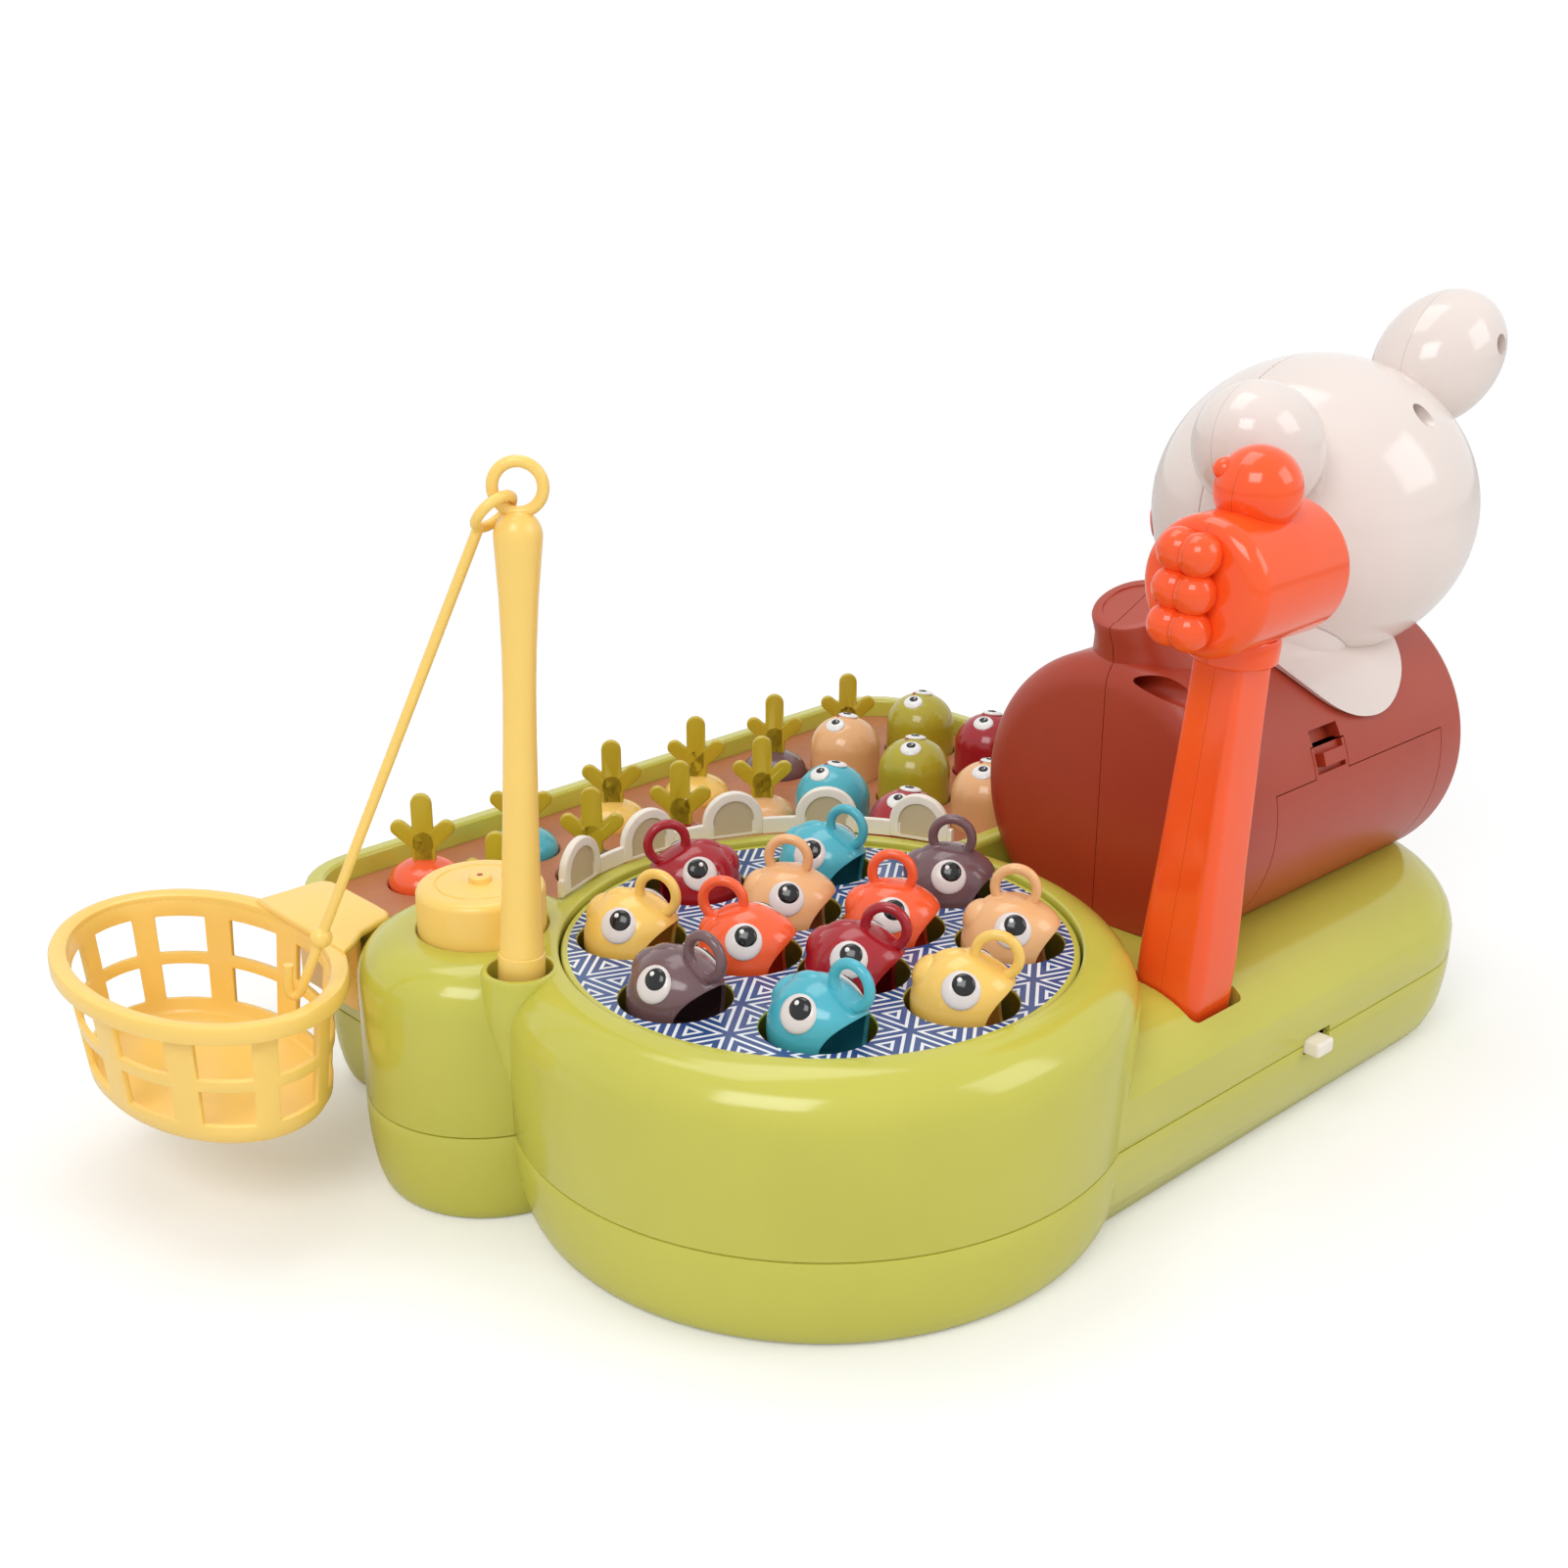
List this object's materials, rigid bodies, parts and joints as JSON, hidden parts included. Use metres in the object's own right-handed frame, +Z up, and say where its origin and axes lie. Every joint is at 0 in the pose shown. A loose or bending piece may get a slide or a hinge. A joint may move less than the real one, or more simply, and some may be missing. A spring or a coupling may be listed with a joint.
{
  "type": "mole pounding game",
  "caption": "Table-top pounding game for small children: pop-up moles and carrots in a bed, a turning pool of fish with rod and basket, a mallet, and a rabbit on a log.",
  "frame": {"origin": "on the floor under the axis of the round fish pool", "axes": "+Z up, +X from the pool towards the rabbit's end of the base, +Y from the pool towards the vegetable bed"},
  "size_m": [0.5078, 0.3114, 0.278],
  "materials": {
    "board_green": "satin",
    "brown": "moulded, glossy",
    "cream": "moulded, glossy",
    "crimson": "moulded, glossy",
    "green": "moulded, glossy",
    "grey": "satin",
    "hammer_orange": "moulded, glossy",
    "ivory": "satin",
    "olive": "moulded, glossy",
    "orange": "moulded, glossy",
    "peach": "moulded, glossy",
    "plum": "moulded, glossy",
    "print_blue": "printed, satin",
    "sand": "moulded, glossy",
    "soil": "satin",
    "steel": "satin",
    "teal": "moulded, glossy",
    "yellow": "moulded, glossy"
  },
  "bodies": {
    "base": {"base_lower_shell": "green", "base_upper_shell": "green", "soil_bed": "soil", "fence": "ivory", "drive_motor": "steel", "mole_switch_board": "board_green", "circuit_board": "board_green", "speaker": "grey", "log_front_shell": "brown", "log_rear_shell": "brown", "battery_holder": "grey", "battery_1": "steel", "battery_2": "steel", "battery_3": "steel", "rabbit_head_back": "cream", "rabbit_head_front": "cream", "rabbit_ear_left": "cream", "rabbit_ear_right": "cream", "rabbit_body": "cream"},
    "turntable": {"pool_disc": "print_blue", "turntable_gear": "ivory"},
    "pinion": {"drive_pinion": "ivory"},
    "button": {"drum_button": "yellow"},
    "rod": {"rod": "yellow"},
    "line": {"fishing_line": "yellow"},
    "basket": {"basket": "yellow"},
    "hammer": {"hammer": "hammer_orange"},
    "door": {"battery_door": "brown"},
    "switch": {"power_switch": "ivory"},
    "fish_plum_right": {"fish_plum_right": "plum"},
    "fish_teal_back": {"fish_teal_back": "teal"},
    "fish_crimson_back": {"fish_crimson_back": "crimson"},
    "fish_sand_left": {"fish_sand_left": "sand"},
    "fish_plum_left": {"fish_plum_left": "plum"},
    "fish_teal_front": {"fish_teal_front": "teal"},
    "fish_sand_front": {"fish_sand_front": "sand"},
    "fish_peach_right": {"fish_peach_right": "peach"},
    "fish_orange_right": {"fish_orange_right": "orange"},
    "fish_peach_back": {"fish_peach_back": "peach"},
    "fish_orange_left": {"fish_orange_left": "orange"},
    "fish_crimson_front": {"fish_crimson_front": "crimson"},
    "mole_back_middle": {"mole_back_middle": "peach"},
    "mole_back_right": {"mole_back_right": "olive"},
    "mole_left": {"mole_left": "teal"},
    "mole_middle": {"mole_middle": "olive"},
    "mole_right": {"mole_right": "crimson"},
    "mole_front_left": {"mole_front_left": "crimson"},
    "mole_front_middle": {"mole_front_middle": "peach"},
    "mole_front_right": {"mole_front_right": "teal"},
    "carrot_back_1": {"carrot_back_1": "orange"},
    "carrot_back_2": {"carrot_back_2": "teal"},
    "carrot_back_3": {"carrot_back_3": "sand"},
    "carrot_back_4": {"carrot_back_4": "sand"},
    "carrot_back_5": {"carrot_back_5": "plum"},
    "carrot_back_6": {"carrot_back_6": "crimson"},
    "carrot_front_1": {"carrot_front_1": "teal"},
    "carrot_front_2": {"carrot_front_2": "plum"},
    "carrot_front_3": {"carrot_front_3": "crimson"},
    "carrot_front_4": {"carrot_front_4": "peach"}
  },
  "joints": [
    {"name": "disc_spin", "type": "hinge", "parent": "base", "child": "turntable", "pos_m": [0, 0, 0.061], "axis": [0, 0, 1], "continuous": true},
    {"name": "pinion_spin", "type": "hinge", "parent": "base", "child": "pinion", "pos_m": [0.024, 0, 0.0425], "axis": [0, 0, 1], "continuous": true},
    {"name": "fish_plum_right_lift", "type": "slide", "parent": "turntable", "child": "fish_plum_right", "axis": [0, 0, 1], "range_m": [0, 0.03]},
    {"name": "fish_teal_back_lift", "type": "slide", "parent": "turntable", "child": "fish_teal_back", "axis": [0, 0, 1], "range_m": [0, 0.03]},
    {"name": "fish_crimson_back_lift", "type": "slide", "parent": "turntable", "child": "fish_crimson_back", "axis": [0, 0, 1], "range_m": [0, 0.03]},
    {"name": "fish_sand_left_lift", "type": "slide", "parent": "turntable", "child": "fish_sand_left", "axis": [0, 0, 1], "range_m": [0, 0.03]},
    {"name": "fish_plum_left_lift", "type": "slide", "parent": "turntable", "child": "fish_plum_left", "axis": [0, 0, 1], "range_m": [0, 0.03]},
    {"name": "fish_teal_front_lift", "type": "slide", "parent": "turntable", "child": "fish_teal_front", "axis": [0, 0, 1], "range_m": [0, 0.03]},
    {"name": "fish_sand_front_lift", "type": "slide", "parent": "turntable", "child": "fish_sand_front", "axis": [0, 0, 1], "range_m": [0, 0.03]},
    {"name": "fish_peach_right_lift", "type": "slide", "parent": "turntable", "child": "fish_peach_right", "axis": [0, 0, 1], "range_m": [0, 0.03]},
    {"name": "fish_orange_right_lift", "type": "slide", "parent": "turntable", "child": "fish_orange_right", "axis": [0, 0, 1], "range_m": [0, 0.03]},
    {"name": "fish_peach_back_lift", "type": "slide", "parent": "turntable", "child": "fish_peach_back", "axis": [0, 0, 1], "range_m": [0, 0.03]},
    {"name": "fish_orange_left_lift", "type": "slide", "parent": "turntable", "child": "fish_orange_left", "axis": [0, 0, 1], "range_m": [0, 0.03]},
    {"name": "fish_crimson_front_lift", "type": "slide", "parent": "turntable", "child": "fish_crimson_front", "axis": [0, 0, 1], "range_m": [0, 0.03]},
    {"name": "mole_back_middle_press", "type": "slide", "parent": "base", "child": "mole_back_middle", "axis": [0, 0, 1], "range_m": [-0.006, 0], "stiffness_N_per_m": 150, "springref_m": 0.006},
    {"name": "mole_back_right_press", "type": "slide", "parent": "base", "child": "mole_back_right", "axis": [0, 0, 1], "range_m": [-0.006, 0], "stiffness_N_per_m": 150, "springref_m": 0.006},
    {"name": "mole_left_press", "type": "slide", "parent": "base", "child": "mole_left", "axis": [0, 0, 1], "range_m": [-0.006, 0], "stiffness_N_per_m": 150, "springref_m": 0.006},
    {"name": "mole_middle_press", "type": "slide", "parent": "base", "child": "mole_middle", "axis": [0, 0, 1], "range_m": [-0.006, 0], "stiffness_N_per_m": 150, "springref_m": 0.006},
    {"name": "mole_right_press", "type": "slide", "parent": "base", "child": "mole_right", "axis": [0, 0, 1], "range_m": [-0.006, 0], "stiffness_N_per_m": 150, "springref_m": 0.006},
    {"name": "mole_front_left_press", "type": "slide", "parent": "base", "child": "mole_front_left", "axis": [0, 0, 1], "range_m": [-0.006, 0], "stiffness_N_per_m": 150, "springref_m": 0.006},
    {"name": "mole_front_middle_press", "type": "slide", "parent": "base", "child": "mole_front_middle", "axis": [0, 0, 1], "range_m": [-0.006, 0], "stiffness_N_per_m": 150, "springref_m": 0.006},
    {"name": "mole_front_right_press", "type": "slide", "parent": "base", "child": "mole_front_right", "axis": [0, 0, 1], "range_m": [-0.006, 0], "stiffness_N_per_m": 150, "springref_m": 0.006},
    {"name": "carrot_back_1_lift", "type": "slide", "parent": "base", "child": "carrot_back_1", "axis": [0, 0, 1], "range_m": [0, 0.03]},
    {"name": "carrot_back_2_lift", "type": "slide", "parent": "base", "child": "carrot_back_2", "axis": [0, 0, 1], "range_m": [0, 0.03]},
    {"name": "carrot_back_3_lift", "type": "slide", "parent": "base", "child": "carrot_back_3", "axis": [0, 0, 1], "range_m": [0, 0.03]},
    {"name": "carrot_back_4_lift", "type": "slide", "parent": "base", "child": "carrot_back_4", "axis": [0, 0, 1], "range_m": [0, 0.03]},
    {"name": "carrot_back_5_lift", "type": "slide", "parent": "base", "child": "carrot_back_5", "axis": [0, 0, 1], "range_m": [0, 0.03]},
    {"name": "carrot_back_6_lift", "type": "slide", "parent": "base", "child": "carrot_back_6", "axis": [0, 0, 1], "range_m": [0, 0.03]},
    {"name": "carrot_front_1_lift", "type": "slide", "parent": "base", "child": "carrot_front_1", "axis": [0, 0, 1], "range_m": [0, 0.03]},
    {"name": "carrot_front_2_lift", "type": "slide", "parent": "base", "child": "carrot_front_2", "axis": [0, 0, 1], "range_m": [0, 0.03]},
    {"name": "carrot_front_3_lift", "type": "slide", "parent": "base", "child": "carrot_front_3", "axis": [0, 0, 1], "range_m": [0, 0.03]},
    {"name": "carrot_front_4_lift", "type": "slide", "parent": "base", "child": "carrot_front_4", "axis": [0, 0, 1], "range_m": [0, 0.03]},
    {"name": "button_press", "type": "slide", "parent": "base", "child": "button", "axis": [0, 0, 1], "range_m": [-0.004, 0], "stiffness_N_per_m": 200, "springref_m": 0.004},
    {"name": "rod_pull", "type": "slide", "parent": "base", "child": "rod", "axis": [0.028, -0.0265, 0.9993], "range_m": [0, 0.012]},
    {"name": "line_swing", "type": "hinge", "parent": "rod", "child": "line", "pos_m": [-0.08234, 0.04159, 0.24252], "axis": [0.6844, 0.7291, 0], "range_deg": [0, 60]},
    {"name": "basket_lift", "type": "slide", "parent": "base", "child": "basket", "axis": [0, 0, 1], "range_m": [0, 0.008]},
    {"name": "hammer_pull", "type": "slide", "parent": "base", "child": "hammer", "axis": [0, -0.075, 0.9972], "range_m": [0, 0.07]},
    {"name": "door_swing", "type": "hinge", "parent": "base", "child": "door", "pos_m": [0.147, -0.0589, 0.06772], "axis": [1, 0, 0], "range_deg": [0, 45]},
    {"name": "switch_slide", "type": "slide", "parent": "base", "child": "switch", "axis": [1, 0, 0], "range_m": [0, 0.006]}
  ],
  "couplings": [
    {"joint": "pinion_spin", "follows": "disc_spin", "ratio": -3}
  ]
}
